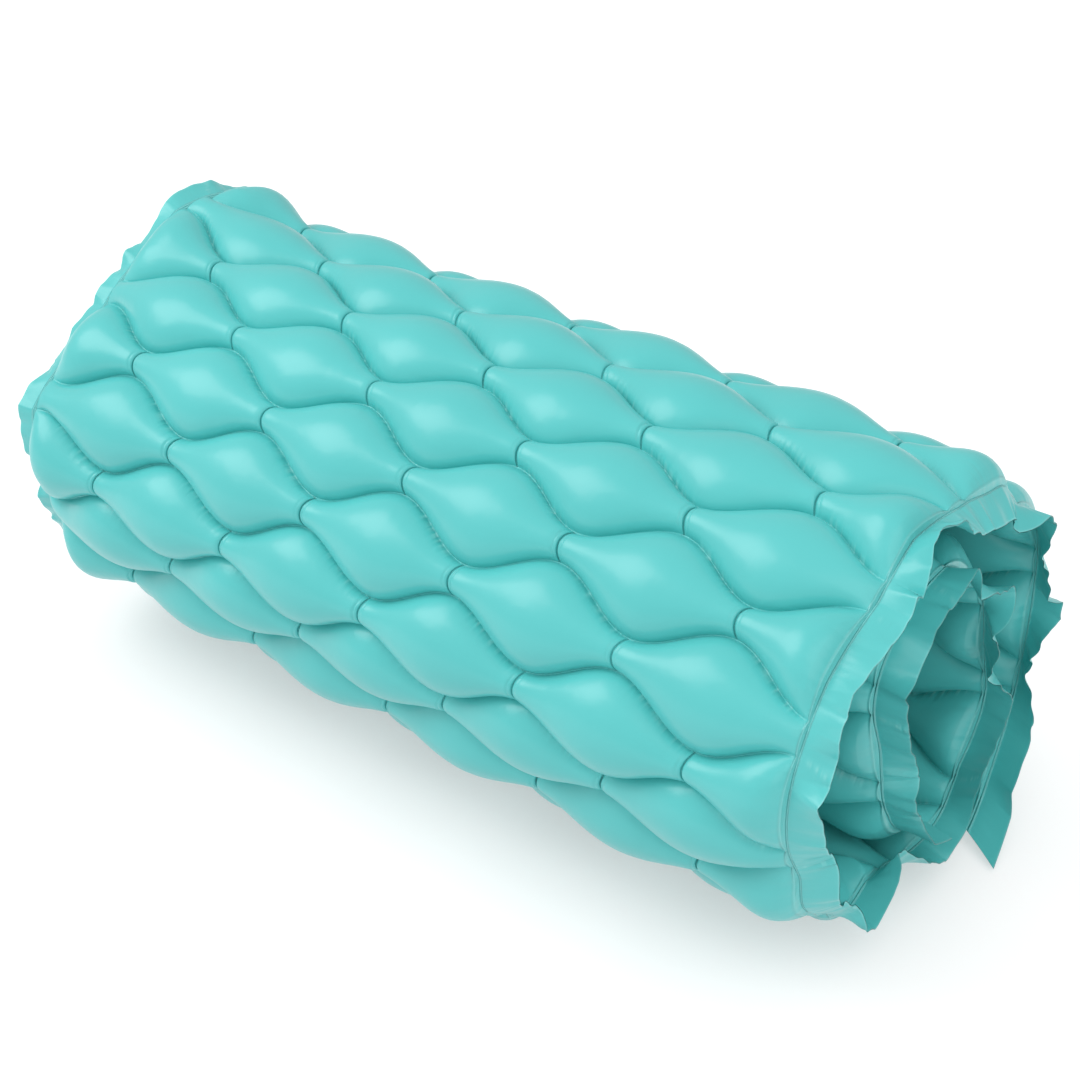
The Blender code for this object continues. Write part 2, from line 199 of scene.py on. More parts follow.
# %% From the mat to the roll
DRIFT_LENGTH = 0.120
NEAR_DRIFT_SHARES = (
    (0.230, 0.00),
    (0.285, 0.10),
    (0.330, -0.02),
    (0.390, 0.06),
    (0.450, 0.03),
    (0.500, -0.03),
    (0.560, -0.06),
    (0.600, -0.02),
    (0.625, 0.06),
    (0.655, 0.16),
    (0.676, 0.08),
    (0.692, -0.17),
    (0.712, -0.24),
    (0.750, -0.10),
    (0.780, -0.06),
    (0.815, -0.13),
    (0.850, -0.22),
    (0.906, -0.08),
    (0.930, -0.07),
    (0.960, -0.14),
    (1.010, -0.16),
    (1.080, -0.12),
    (1.114, -0.08),
    (1.160, -0.14),
    (1.233, 0.08),
    (1.290, 0.04),
    (1.360, 0.06),
    (1.440, 0.00),
    (1.616, -0.16),
    (1.700, -0.10),
    (1.785, 0.12),
)
FAR_DRIFT_SHARES = (
    (0.120, 0.00),
    (0.204, 0.20),
    (0.248, 0.17),
    (0.284, 0.02),
    (0.343, -0.08),
    (0.400, -0.02),
    (0.442, 0.08),
    (0.497, -0.03),
    (0.560, 0.03),
    (0.620, 0.00),
)
CORNER_REACH = 0.127
CORNER_PULL = (0.022, -0.050, -0.018)


def end_drift(x, s):
    """The share that is added near the two ends: the listed share of the turn, times the square
    of how far x has gone along the drift's length."""
    drift = np.zeros(np.shape(x))
    turn = np.interp(s, RUN, TURN)
    for side, knots in ((1, NEAR_DRIFT_SHARES), (-1, FAR_DRIFT_SHARES)):
        start = EDGE - DRIFT_LENGTH
        grown = np.clip((side * x - start) / DRIFT_LENGTH, 0, 1) ** 2
        turns, shares = np.array(knots).T
        drift += grown * np.interp(turn, turns, shares)
    return drift


def corner_pull(x, s):
    """How far the near end's outermost corner is drawn along and under: a vector whose share
    falls with the square of the way along the band."""
    near = np.clip((x - (EDGE - DRIFT_LENGTH)) / DRIFT_LENGTH, 0, 1) ** 2
    share = near * np.clip(1 - s / CORNER_REACH, 0, 1) ** 2
    return share[..., None] * np.array(CORNER_PULL)


def place(x, s, lift):
    """The spiral's point at s, moved out by the end drift and then along the normal by the lift."""
    x, s, lift = np.broadcast_arrays(x, s, lift)
    at = np.stack([np.interp(s, RUN, PATH[:, i]) for i in range(2)], axis=-1)
    at *= 1 + end_drift(x, s)[..., None]
    out = np.stack([np.interp(s, RUN, OUTWARD[:, i]) for i in range(2)], axis=-1)
    out /= np.linalg.norm(out, axis=-1)[..., None]
    yz = at + out * lift[..., None]
    point = np.stack([x, yz[..., 0] - REST, yz[..., 1] - FLOOR], axis=-1)
    return point + corner_pull(x, s)


print("the outer end lies at", np.round(place(0.0, 0.0, 0.0), 3))

# %% [markdown]
# The camera stands where the photograph's did, in front of the near end and above it. Its place
# was worked out from the weld creases that show, so it is given as real sizes here.

# %% Camera
CAMERA_AZIMUTH = math.radians(38.46)
CAMERA_ELEVATION = math.radians(32.87)
CAMERA_DISTANCE = 1.586
CAMERA_ASIDE = 0.0166
CAMERA_DOWN = 0.0039
CAMERA_LENS = 67.54
CAMERA_SENSOR = 36.0
AIM_HEIGHT = 0.170
AIM = Vector((0, -REST, AIM_HEIGHT))

back = Vector((
    math.sin(CAMERA_AZIMUTH) * math.cos(CAMERA_ELEVATION),
    -math.cos(CAMERA_AZIMUTH) * math.cos(CAMERA_ELEVATION),
    math.sin(CAMERA_ELEVATION),
))
right = Vector((math.cos(CAMERA_AZIMUTH), math.sin(CAMERA_AZIMUTH), 0))
up = back.cross(right)


def add_camera():
    """A camera that looks along minus back, with its own right and up."""
    data = bpy.data.cameras.new("camera")
    data.lens = CAMERA_LENS
    data.sensor_width = CAMERA_SENSOR
    item = bpy.data.objects.new("camera", data)
    bpy.context.scene.collection.objects.link(item)
    at = AIM + back * CAMERA_DISTANCE + right * CAMERA_ASIDE - up * CAMERA_DOWN
    item.matrix_world = Matrix.Translation(at) @ Matrix((right, up, back)).transposed().to_4x4()
    bpy.context.scene.camera = item
    return item


camera = add_camera()
print("camera at", tuple(round(v, 3) for v in camera.location))

# %% [markdown]
# Each weld seam is a cosine wave, and neighbouring seams swing opposite ways, so a channel is a
# chain of lemon-shaped bulges with a narrow neck between each two. Between the welds the film
# is tight, so a channel's section is close to two circular arcs.

# %% Seams and sections
WELD_WIDTH = 0.0012
WELD_HALF_THICKNESS = 0.0003
HEM_HALF_THICKNESS = 0.0004
THICKENING_POWER = 0.80
FAR_WELD_SHIFT = 0.010
CLOSING_ROUNDNESS = 2.5
STEEPEST_ARC = 1.45
FLATTEST_ARC = 0.01
CLOSING_POWER = 0.60
ROUNDNESS = 0.22


def seam(index, x):
    """The weld line between two channels: its pitch place plus or minus a cosine wave."""
    swing = SEAM_SWING if 0 < index < CHANNELS else 0
    wave = np.cos(math.tau * (x + HALF_SPAN) / WAVE_LENGTH)
    return HEM_WIDTH + index * CHANNEL_PITCH - swing * (-1) ** index * wave


def weld_reach(x):
    """How far along the roll the end weld lies: the bulges press it further out at the far end."""
    return HALF_SPAN + np.where(x < 0, FAR_WELD_SHIFT, 0)


def crest(channel):
    """Where the middle of a channel, counted from 0, lies along the band."""
    return HEM_WIDTH + (channel + 1 / 2) * CHANNEL_PITCH


def crest_height(channel, x):
    """Neck height plus the bulge's extra height times the channel's openness to a power, closing
    to nothing at the end welds."""
    width = seam(channel + 1, x) - seam(channel, x)
    narrow, wide = CHANNEL_PITCH - 2 * SEAM_SWING, CHANNEL_PITCH + 2 * SEAM_SWING
    openness = np.clip((width - narrow) / (wide - narrow), 0, 1) ** THICKENING_POWER
    full = NECK_HALF_THICKNESS + (BULGE_HALF_THICKNESS - NECK_HALF_THICKNESS) * openness
    inside = np.clip((weld_reach(x) - np.abs(x)) / CLOSING_LENGTH, 0, 1)
    return full * (1 - (1 - inside) ** CLOSING_ROUNDNESS) ** CLOSING_POWER


def arc_profile(q, half, height):
    """A circular arc over a half width: height at q = 0 and nothing at q = 1, where the arc's
    half angle is twice the arctangent of height over half width, up to a steepest one. Part of
    it is a half ellipse, so that the film drops steeply into the seam."""
    angle = np.minimum(2 * np.arctan2(height, half), STEEPEST_ARC)
    angle = np.maximum(angle, FLATTEST_ARC)
    arc = (np.sqrt(1 - (q * np.sin(angle)) ** 2) - np.cos(angle)) / (1 - np.cos(angle))
    return height * (arc + ROUNDNESS * (np.sqrt(1 - q**2) - arc))


print("bulge height", crest_height(1, 0.0), "neck height", crest_height(2, 0.0))

# %% [markdown]
# The two films can't shorten where a bulge narrows, so each neck folds into a sharp crease that
# runs across it in a shallow curve, with one or two fainter ones beside it. The main crease is a
# groove with a pointed bottom, the others are bell-shaped, and a seeded draw places them.

# %% Creases at the necks
CREASE_DEPTH = 0.0038
CREASE_WIDTH = 0.0014
CREASE_BEND = 0.0032
SIDE_CREASE_DEPTH = 0.0011
SIDE_CREASE_WIDTH = 0.0008
SIDE_CREASE_APART = 0.0034
CREASE_MARK_REACH = 0.0050
LARGEST_CREASE_SHIFT = 0.0015
LEAST_CREASE_SHARE = 0.7
SEED = 7
dice = np.random.default_rng(SEED)
NECKS = (CHANNELS, 2 * WAVES + 1)
CREASE_SHIFT = dice.uniform(-LARGEST_CREASE_SHIFT, LARGEST_CREASE_SHIFT, NECKS)
CREASE_SHARE = dice.uniform(LEAST_CREASE_SHARE, 1.0, NECKS)
SIDE_CREASE_SHARE = dice.uniform(0.0, 1.0, (*NECKS, 2))


def crease_offset(channel, half_wave, x, q):
    """How far a point is from a neck's main crease, whose middle bends towards the far end."""
    middle = half_wave * WAVE_LENGTH / 2 - HALF_SPAN + CREASE_SHIFT[channel, half_wave]
    return x - middle + CREASE_BEND * (1 - q**2)


def creases(channel, x, q):
    """The sum of the grooves at each neck."""
    depth = np.zeros(np.broadcast(x, q).shape)
    for half_wave in range(1, 2 * WAVES):
        # a neck lies where this channel's two seams come closest
        if (half_wave + channel) % 2 == 0:
            continue
        off = crease_offset(channel, half_wave, x, q)
        share = CREASE_SHARE[channel, half_wave]
        depth += share * CREASE_DEPTH * np.exp(-np.abs(off) / CREASE_WIDTH)
        for number, way in enumerate((-1, 1)):
            beside = (off + way * SIDE_CREASE_APART) / SIDE_CREASE_WIDTH
            share = SIDE_CREASE_SHARE[channel, half_wave, number]
            depth += share * SIDE_CREASE_DEPTH * np.exp(-(beside**2))
    return depth


print("creases on", CHANNELS, "channels")

# %% [markdown]
# Beyond the end welds the two films lie on each other as a hem. The inflated mat is shorter than
# the flat film, so the hem has length to spare and falls into folds. A table lists the near
# end's folds: the place along the band in channels and how far the free edge leans out there, as
# a share of the hem's width. The far end's table covers its upper part, and seeded folds go on
# from there. Each seam pinches the hem into a small pleat as well.

# %% The hem's folds
NEAR_FOLD_SHARES = (
    (0.00, 0.00), (0.20, -0.38), (0.82, -0.22), (1.76, -0.86), (2.37, -0.62), (2.59, -0.42),
    (2.66, -0.02), (2.98, -0.10), (3.12, -0.58), (4.14, -0.82), (4.73, -0.42), (4.88, -0.14),
    (5.29, 0.02), (5.39, -0.10), (5.60, -0.82), (7.31, -0.66), (8.08, -0.06), (8.15, 0.30),
    (8.67, 0.58), (8.82, 0.54), (9.16, -0.06), (9.23, -0.30), (9.35, 0.18), (9.73, -0.10),
    (10.10, -0.06), (10.75, 0.26), (11.35, 0.10), (11.57, -0.38), (11.94, -0.34), (12.18, 0.22),
    (12.59, -0.26), (13.27, -0.42), (13.80, -0.74), (13.87, -0.58), (14.06, -0.62),
    (14.33, -0.42), (15.49, -0.74), (15.96, -0.70), (16.03, -0.50), (16.10, -0.14),
    (16.63, -0.02), (16.70, -0.46), (16.84, -0.82), (17.69, -0.38), (18.51, 0.38), (18.63, 0.22),
    (19.12, 0.26), (19.29, -0.06), (19.47, -0.22), (19.96, -0.14), (20.73, -0.26),
    (21.31, -0.10), (21.41, -0.02), (22.22, -0.78), (22.84, -0.46), (23.18, -0.66),
    (23.29, -0.62), (23.57, 0.58), (24.43, 0.10), (24.78, -0.54), (24.96, -0.50), (25.33, 0.22),
    (25.57, 0.10), (25.67, -0.06), (26.35, 0.06), (26.55, -0.38), (27.04, -0.34), (27.25, 0.18),
    (27.37, -0.06), (27.94, -0.18), (28.24, -0.06), (29.24, -0.46), (29.37, -0.34),
    (29.44, -0.02), (30.55, -0.22), (30.84, -0.14), (31.00, 0.00),
)
FAR_FOLD_SHARES = (
    (6.55, -0.02), (7.61, 0.10), (8.00, -0.22), (8.08, -0.38), (8.49, -0.42), (8.61, -0.06),
    (8.80, 0.26), (8.88, 0.14), (8.95, -0.14), (9.04, -0.26), (9.51, 0.26), (9.71, 0.26),
    (9.84, 0.02), (10.39, -0.06), (10.69, -0.42), (10.92, -0.34), (11.16, -0.42), (11.45, 0.10),
    (12.04, -0.02), (12.59, 0.10), (12.76, -0.18), (13.31, -0.26), (13.45, 0.30), (14.06, -0.06),
)
STEEPEST_FOLD_SHARE = 0.88
SEEDED_FOLD_SHARE = 0.45
PLEAT_SHARE = 0.12
PLEAT_REACH = 0.0045
PLEAT_STEEPNESS = 3
RIPPLE_SHARE = 0.03
RIPPLE_LENGTH = 0.019
CURL_POWER = 1.25
LEAST_FOLD_DRAW = 0.4
FOLD_DRAW = dice.uniform(LEAST_FOLD_DRAW, 1.0, CHANNELS + 1)
PLEAT_DRAW = dice.uniform(-1.0, 1.0, (2, CHANNELS + 1))


def fold_knots(end):
    """The knots of one end's folds: the near end's table, or the far end's with seeded folds,
    out and in turn about, before and after it."""
    if end == 0:
        return np.array(NEAR_FOLD_SHARES).T
    places, shares = np.array(FAR_FOLD_SHARES).T
    seeded = np.arange(CHANNELS + 1.0)
    drawn = SEEDED_FOLD_SHARE * FOLD_DRAW * (-1.0) ** seeded
    drawn[[0, -1]] = 0
    before, after = seeded < places[0] - 1 / 2, seeded > places[-1] + 1 / 2
    places = np.concatenate([seeded[before], places, seeded[after]])
    return places, np.concatenate([drawn[before], shares, drawn[after]])


def hem_lean(end, s):
    """The share of the hem's width by which the free edge stands out of the mat: straight runs
    between the knots, plus at each seam a pleat that steps over and dies away, plus a ripple."""
    u = (s - HEM_WIDTH) / CHANNEL_PITCH
    lean = np.interp(u, *fold_knots(end))
    nearest = np.clip(np.round(u), 1, CHANNELS - 1).astype(int)
    off = (u - nearest) * CHANNEL_PITCH
    pleat = PLEAT_SHARE * PLEAT_DRAW[end][nearest] * np.tanh(off / PLEAT_REACH * PLEAT_STEEPNESS)
    lean += pleat * np.exp(-np.abs(off) / PLEAT_REACH)
    within = np.clip(u, 0, 1) * np.clip(CHANNELS - u, 0, 1)
    lean += within * RIPPLE_SHARE * np.sin(math.tau * s / RIPPLE_LENGTH + end)
    return np.clip(lean, -STEEPEST_FOLD_SHARE, STEEPEST_FOLD_SHARE)


def side_hem(x, s):
    """Where the side hems lie: the lift, which curls up towards the free edge, and the place
    along the roll, which draws back where the hem leans."""
    width = EDGE - weld_reach(x)
    beyond = np.clip(np.abs(x) - weld_reach(x), 0, None) / width
    lean = np.where(x > 0, hem_lean(0, s), hem_lean(1, s))
    drawn_back = width * beyond * (1 - np.sqrt(1 - lean**2))
    return width * lean * beyond**CURL_POWER, x - np.sign(x) * drawn_back


print("the near hem leans up to", np.round(np.abs(hem_lean(0, RUN)).max(), 2), "of its width")

# %% [markdown]
# Only the valve interrupts the pattern: its flange is welded to a flat spot on one bulge, on the
# roll's back near the far end. The film is pressed down to the flange's seat there and rises
# again around it. Under the flange it is drawn into a well, in which the stem and its check flap
# have room to move.

# %% The valve's flat spot
VALVE_CHANNEL = 3
VALVE_X = WAVE_LENGTH / 2 - HALF_SPAN
FLANGE_SEAT_DEPTH = 0.0035
FLANGE_RADIUS = 0.0170
SEAT_GAP = 0.0004
SEAT_BLEND = 0.012
WELL_RIM_RADIUS = 0.0125
WELL_RADIUS = 0.0092
WELL_DEPTH = 0.0315
ROLL_RADIUS = 0.17


def valve_seat(x, s, lift):
    """Mixes the bulge's lift with a flat seat's, from the flange's rim outwards over the blend,
    and sinks it into the well from the well's rim inwards."""
    off = s - crest(VALVE_CHANNEL)
    far = np.hypot(x - VALVE_X, off)
    flat = crest_height(VALVE_CHANNEL, VALVE_X) - FLANGE_SEAT_DEPTH - SEAT_GAP
    flat = flat + off**2 / (2 * ROLL_RADIUS)
    t = np.clip((far - FLANGE_RADIUS) / SEAT_BLEND, 0, 1)
    t = t * t * (3 - 2 * t)
    sunk = WELL_DEPTH * np.clip((WELL_RIM_RADIUS - far) / (WELL_RIM_RADIUS - WELL_RADIUS), 0, 1)
    return np.where(lift > 0, np.minimum(lift, flat + (lift - flat) * t) - sunk, lift)


# %% [markdown]
# The mat is modelled as strips: each runs from one channel's crest to the next one's, with the
# weld seam in its middle, so the seams are unbroken and the strips meet where the film is
# smooth. A strip is a grid of points on the outer film and one on the inner film, closed along
# its four sides. Samples crowd together at the welds and at the necks, where the film bends most.

# %% Where the samples lie
SIDE_SAMPLES = 17
HEM_SAMPLES = 10
NECK_STEP = 0.0007
NECK_REACH = 0.0084
PLAIN_STEP = 0.0036


def along_samples():
    """Places along the roll: fine steps at each half wave, coarser ones between, and the hems."""
    half = WAVE_LENGTH / 2
    fine = np.arange(0, NECK_REACH, NECK_STEP)
    plain = np.linspace(NECK_REACH, half - NECK_REACH, round((half - 2 * NECK_REACH) / PLAIN_STEP))
    one = np.concatenate([fine, plain, half - fine[:0:-1]])
    inner = np.concatenate([one + i * half for i in range(2 * WAVES)] + [[2 * HALF_SPAN]])
    hem = np.linspace(HALF_SPAN, EDGE, HEM_SAMPLES + 1)[1:]
    return np.concatenate([-hem[::-1], inner - HALF_SPAN, hem])


ALONG = along_samples()
print(len(ALONG), "samples along the roll")


def across_samples(strip, x):
    """Places across a strip, one row for each x: from the crest before the seam to the crest
    after it, evenly spaced in angle over each arc, with the weld band between."""
    t = np.linspace(0, 1, SIDE_SAMPLES)
    q = np.sin(STEEPEST_ARC * t) / np.sin(STEEPEST_ARC)
    middle = seam(strip, x)[:, None]
    rows = []
    if strip > 0:
        low, high = crest(strip - 1), middle - WELD_WIDTH / 2
        rows.append(low + (high - low) * q)
    else:
        rows.append(np.linspace(0, 1, HEM_SAMPLES) * (middle - WELD_WIDTH / 2))
    rows.append(middle + 0 * x[:, None])
    if strip < CHANNELS:
        low, high = crest(strip), middle + WELD_WIDTH / 2
        rows.append((low + (high - low) * q)[:, ::-1])
    else:
        rest = MAT_LENGTH - middle - WELD_WIDTH / 2
        rows.append(middle + WELD_WIDTH / 2 + rest * np.linspace(0, 1, HEM_SAMPLES))
    return np.concatenate(rows, axis=1)


# %% [markdown]
# The film's lift over a strip adds up what was defined above. Beyond the first and the last seam
# the end hems are flat film.

# %% The film
RESTING_GAP = 0.0003
RESTING_THICKNESS = 0.0008
DEEPEST_CREASE_SHARE = 0.6
LEAST_NORMAL = 1e-12


def film_lift(x, s, side):
    """The lift of the outer film for side +1 or of the inner film for side -1."""
    channel = np.clip(np.floor((s - HEM_WIDTH) / CHANNEL_PITCH), 0, CHANNELS - 1).astype(int)
    height = np.zeros(s.shape)
    for c in np.unique(np.concatenate([channel.ravel() - 1, channel.ravel(), channel.ravel() + 1])):
        if not 0 <= c < CHANNELS:
            continue
        half = (seam(c + 1, x) - seam(c, x)) / 2 - WELD_WIDTH / 2
        q = np.abs(s - crest(c)) / half
        inside = q < 1
        q = np.minimum(q, 1)
        bulge = arc_profile(q, half, crest_height(c, x))
        groove = np.minimum(creases(c, x, q), bulge * DEEPEST_CREASE_SHARE)
        height = np.where(inside, bulge - groove, height)
    thin = np.where(np.abs(x) > weld_reach(x), HEM_HALF_THICKNESS, WELD_HALF_THICKNESS)
    lift = side * (height + thin)
    return valve_seat(x, s, lift) if side > 0 else lift


def film_place(x, s, side):
    """The film's points in the roll. Where the mat rests on the floor it lies flat, the inner
    film on the outer one."""
    hem_lift, hem_x = side_hem(x, s)
    points = place(hem_x, s, film_lift(x, s, side) + hem_lift)
    lowest = RESTING_GAP if side > 0 else RESTING_GAP + RESTING_THICKNESS
    points[..., 2] = np.maximum(points[..., 2], lowest)
    return points


def film_points(strip, side):
    """The film's points with one more row beyond each crest, from which normals are measured."""
    x = ALONG[:, None]
    s = across_samples(strip, ALONG)
    s = np.concatenate([2 * s[:, :1] - s[:, 1:2], s, 2 * s[:, -1:] - s[:, -2:-1]], axis=1)
    points = film_place(x + 0 * s, s, side)
    along = np.gradient(points, axis=0)
    across = np.gradient(points, axis=1)
    normal = side * np.cross(across, along)
    normal /= np.linalg.norm(normal, axis=-1)[..., None] + LEAST_NORMAL
    return points[:, 1:-1], normal[:, 1:-1], s[:, 1:-1]


# %% [markdown]
# A helper turns two grids of points into one closed mesh: the faces of each film, and a narrow
# band of faces along each of the four sides. Measured normals are kept, so that light runs
# smoothly over the line where two strips meet.

# %% One closed strip
def grid_faces(rows, columns, first, flip):
    """Quads between neighbouring points of a grid whose points start at a number."""
    number = first + np.arange(rows * columns).reshape(rows, columns)
    quads = np.stack([number[:-1, :-1], number[:-1, 1:], number[1:, 1:], number[1:, :-1]], axis=-1)
    quads = quads.reshape(-1, 4)
    return quads[:, ::-1] if flip else quads


def rim_faces(one, other):
    """Quads between two lines of points of the same length."""
    return np.stack([one[:-1], one[1:], other[1:], other[:-1]], axis=-1)


def quad_mesh(name, points, faces):
    """A smooth mesh from an array of points and an array of four point numbers a face."""
    mesh = bpy.data.meshes.new(name)
    mesh.vertices.add(len(points))
    mesh.vertices.foreach_set("co", points.astype(np.float32).ravel())
    mesh.loops.add(faces.size)
    mesh.loops.foreach_set("vertex_index", faces.ravel().astype(np.int32))
    mesh.polygons.add(len(faces))
    mesh.polygons.foreach_set("loop_start", np.arange(0, faces.size, 4, dtype=np.int32))
    mesh.polygons.foreach_set("use_smooth", np.ones(len(faces), dtype=bool))
    mesh.update(calc_edges=True)
    return mesh


def add_marks(mesh, strip, s, faces):
    """Puts the film's own coordinates, x and s, on a strip's mesh as UVs, and its marks as
    attributes. Both films have the same ones."""
    on_film = np.stack([np.broadcast_to(ALONG[:, None], s.shape), s], axis=-1).reshape(-1, 2)
    on_film = np.concatenate([on_film, on_film])
    uv = mesh.uv_layers.new(name="film")
    uv.data.foreach_set("uv", on_film[faces.ravel()].astype(np.float32).ravel())
    keys = ("seam_distance", "seam_slope", "crease_offset", "crease_share")
    for key, values in zip(keys, seam_marks(s) + crease_marks(strip, s)):
        attribute = mesh.attributes.new(key, "FLOAT", "POINT")
        attribute.data.foreach_set("value", np.tile(values.ravel(), 2).astype(np.float32))


def closed_strip(name, strip):
    """The mesh of one strip, its faces pointing outwards."""
    outer, outer_normal, s = film_points(strip, 1)
    inner, inner_normal, _ = film_points(strip, -1)
    rows, columns = outer.shape[:2]
    top = np.arange(rows * columns).reshape(rows, columns)
    low = top + rows * columns
    faces = np.concatenate([
        grid_faces(rows, columns, 0, False),
        grid_faces(rows, columns, rows * columns, True),
        rim_faces(top[:, 0], low[:, 0]),
        rim_faces(low[:, -1], top[:, -1]),
        rim_faces(low[0], top[0]),
        rim_faces(top[-1], low[-1]),
    ])
    points = np.concatenate([outer.reshape(-1, 3), inner.reshape(-1, 3)])
    mesh = quad_mesh(name, points, faces)
    add_marks(mesh, strip, s, faces)
    normals = np.concatenate([outer_normal.reshape(-1, 3), inner_normal.reshape(-1, 3)])
    mesh.normals_split_custom_set_from_vertices(normals.tolist())
    item = bpy.data.objects.new(name, mesh)
    bpy.context.scene.collection.objects.link(item)
    return item


def seam_marks(s):
    """Two numbers for each point: how far the nearest seam is, across the mat, and how steeply
    that seam climbs the other way along the roll, as a share of its steepest."""
    angle = math.tau * (ALONG[:, None] + HALF_SPAN) / WAVE_LENGTH
    u = np.clip(np.round((s - HEM_WIDTH) / CHANNEL_PITCH), 0, CHANNELS)
    sign = np.where((u > 0) & (u < CHANNELS), (-1.0) ** u, 0)
    far = np.abs(s - HEM_WIDTH - u * CHANNEL_PITCH + SEAM_SWING * sign * np.cos(angle))
    return far, np.clip(sign * np.sin(angle), 0, 1)


def crease_marks(strip, s):
    """Two more numbers: how far the channel's nearest crease is, along the roll, and how strong it
    is, which is nothing from half of its reach on, where the offset's sign may turn, and on the
    weld."""
    x, middle = ALONG[:, None], seam(strip, ALONG)[:, None]
    offset, share = np.full(s.shape, CREASE_MARK_REACH), np.zeros(s.shape)
    for c, here in ((strip - 1, s < middle), (strip, s > middle)):
        for half_wave in range(1, 2 * WAVES):
            if not 0 <= c < CHANNELS or (half_wave + c) % 2 == 0:
                continue
            q = np.minimum(np.abs(s - crest(c)) / ((seam(c + 1, x) - seam(c, x)) / 2), 1)
            off = crease_offset(c, half_wave, x, q)
            near = here & (np.abs(off) < CREASE_MARK_REACH)
            offset = np.where(near, off, offset)
            close = here & (np.abs(off) < CREASE_MARK_REACH / 2)
            share = np.where(close, CREASE_SHARE[c, half_wave], share)
    return offset, share


strips = [closed_strip(f"strip_{number:02d}", number) for number in range(CHANNELS + 1)]
print(len(strips), "strips,", sum(2 * len(o.data.polygons) for o in strips), "triangles")

# %% [markdown]
# Eight seams at the outer end open when the roll is peeled. A strip there stays where it was
# built and rides with no body, and the strip of the outer hem rides with the first channel. The
# other strips ride with the roll.

# %% What moves with what
BEND_REACH = 0.016
LOOSE_SEAMS = sum(name.startswith("panel_") for name in frame["bodies"])


def panel(number):
    """The body that carries a channel, counted from 1 at the outer end."""
    return f"panel_{number:02d}" if number <= LOOSE_SEAMS else "roll"


for number, item in enumerate(strips):
    if 0 < number <= LOOSE_SEAMS:
        s = HEM_WIDTH + number * CHANNEL_PITCH
        start, middle, end = (Vector(place(0.0, s + t, 0.0)) for t in (-BEND_REACH, 0, BEND_REACH))
        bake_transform(item)
    else:
        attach(item, panel(max(number, 1)))
    nodes = [f"channel_{number:02d}"] if number else ["outer_end_hem"]
    if number == CHANNELS:
        nodes.append("inner_end_hem")
    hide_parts(*nodes)
print("loose seams:", LOOSE_SEAMS)

# %% [markdown]
# The valve's three round pieces are turned about the valve's axis, each from an outline of
# radii and heights, with slightly rounded edges: the flange on the mat, the stem with its lip,
# and the plug with a domed cap. The strap and the check flap inside stay as constructed.

# %% The valve
VALVE_STEPS = 96
VALVE_ROUNDING = 0.0004
SHARP_ANGLE = math.radians(35)
FLANGE_THICKNESS = 0.0016
STEM_RADIUS = 0.0080
STEM_BORE_RADIUS = 0.0050
STEM_RUNNING_GAP = 0.0004
STEM_HEIGHT = 0.0120
STEM_DEPTH = 0.0110
LIP_RADIUS = 0.0095
LIP_THICKNESS = 0.0020
PLUG_GAP = 0.0003
PLUG_DEPTH = 0.0090
CAP_RADIUS = 0.0098
CAP_THICKNESS = 0.0022
CAP_BULGE = 0.0008
CAP_RINGS = 8
MERGE_DISTANCE = 0.000001


def valve_frame():
    """The valve's own axes: X along the roll, Z out of the mat, from the flange's underside."""
    crest_lift = float(crest_height(VALVE_CHANNEL, VALVE_X))
    low, high = (Vector(place(VALVE_X, crest(VALVE_CHANNEL), lift)) for lift in (0.0, crest_lift))
    out = (high - low).normalized()
    along = Vector((1, 0, 0))
    axes = Matrix((along, out.cross(along), out)).transposed().to_4x4()
    return Matrix.Translation(high - out * FLANGE_SEAT_DEPTH) @ axes


def turned(name, outline, body):
    """A closed round piece from its outline of (radius, height), which replaces its node."""
    angle = np.linspace(0, math.tau, VALVE_STEPS, endpoint=False)[:, None]
    radius, height = np.array(outline).T
    points = [radius * np.cos(angle), radius * np.sin(angle), height + 0 * angle]
    points = np.stack(points, axis=-1).reshape(-1, 3)
    number = np.arange(len(points)).reshape(VALVE_STEPS, -1)
    after, above = np.roll(number, -1, axis=0), np.roll(number, -1, axis=1)
    both = np.roll(after, -1, axis=1)
    faces = np.stack([number, after, both, above], axis=-1).reshape(-1, 4)
    mesh = bpy.data.meshes.new(name)
    mesh.from_pydata(points.tolist(), [], faces.tolist())
    mesh.transform(valve_frame())
    shape = bmesh.new()
    shape.from_mesh(mesh)
    bmesh.ops.remove_doubles(shape, verts=shape.verts, dist=MERGE_DISTANCE)
    bmesh.ops.recalc_face_normals(shape, faces=shape.faces)
    shape.to_mesh(mesh)
    shape.free()
    mesh.polygons.foreach_set("use_smooth", np.ones(len(mesh.polygons), dtype=bool))
    item = bpy.data.objects.new(name, mesh)
    bpy.context.scene.collection.objects.link(item)
    bevel = item.modifiers.new("rounding", "BEVEL")
    bevel.width = VALVE_ROUNDING
    bevel.segments = 2
    bevel.limit_method = "ANGLE"
    bevel.angle_limit = SHARP_ANGLE
    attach(item, body)
    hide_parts(name.removesuffix("_looks"))
    return item


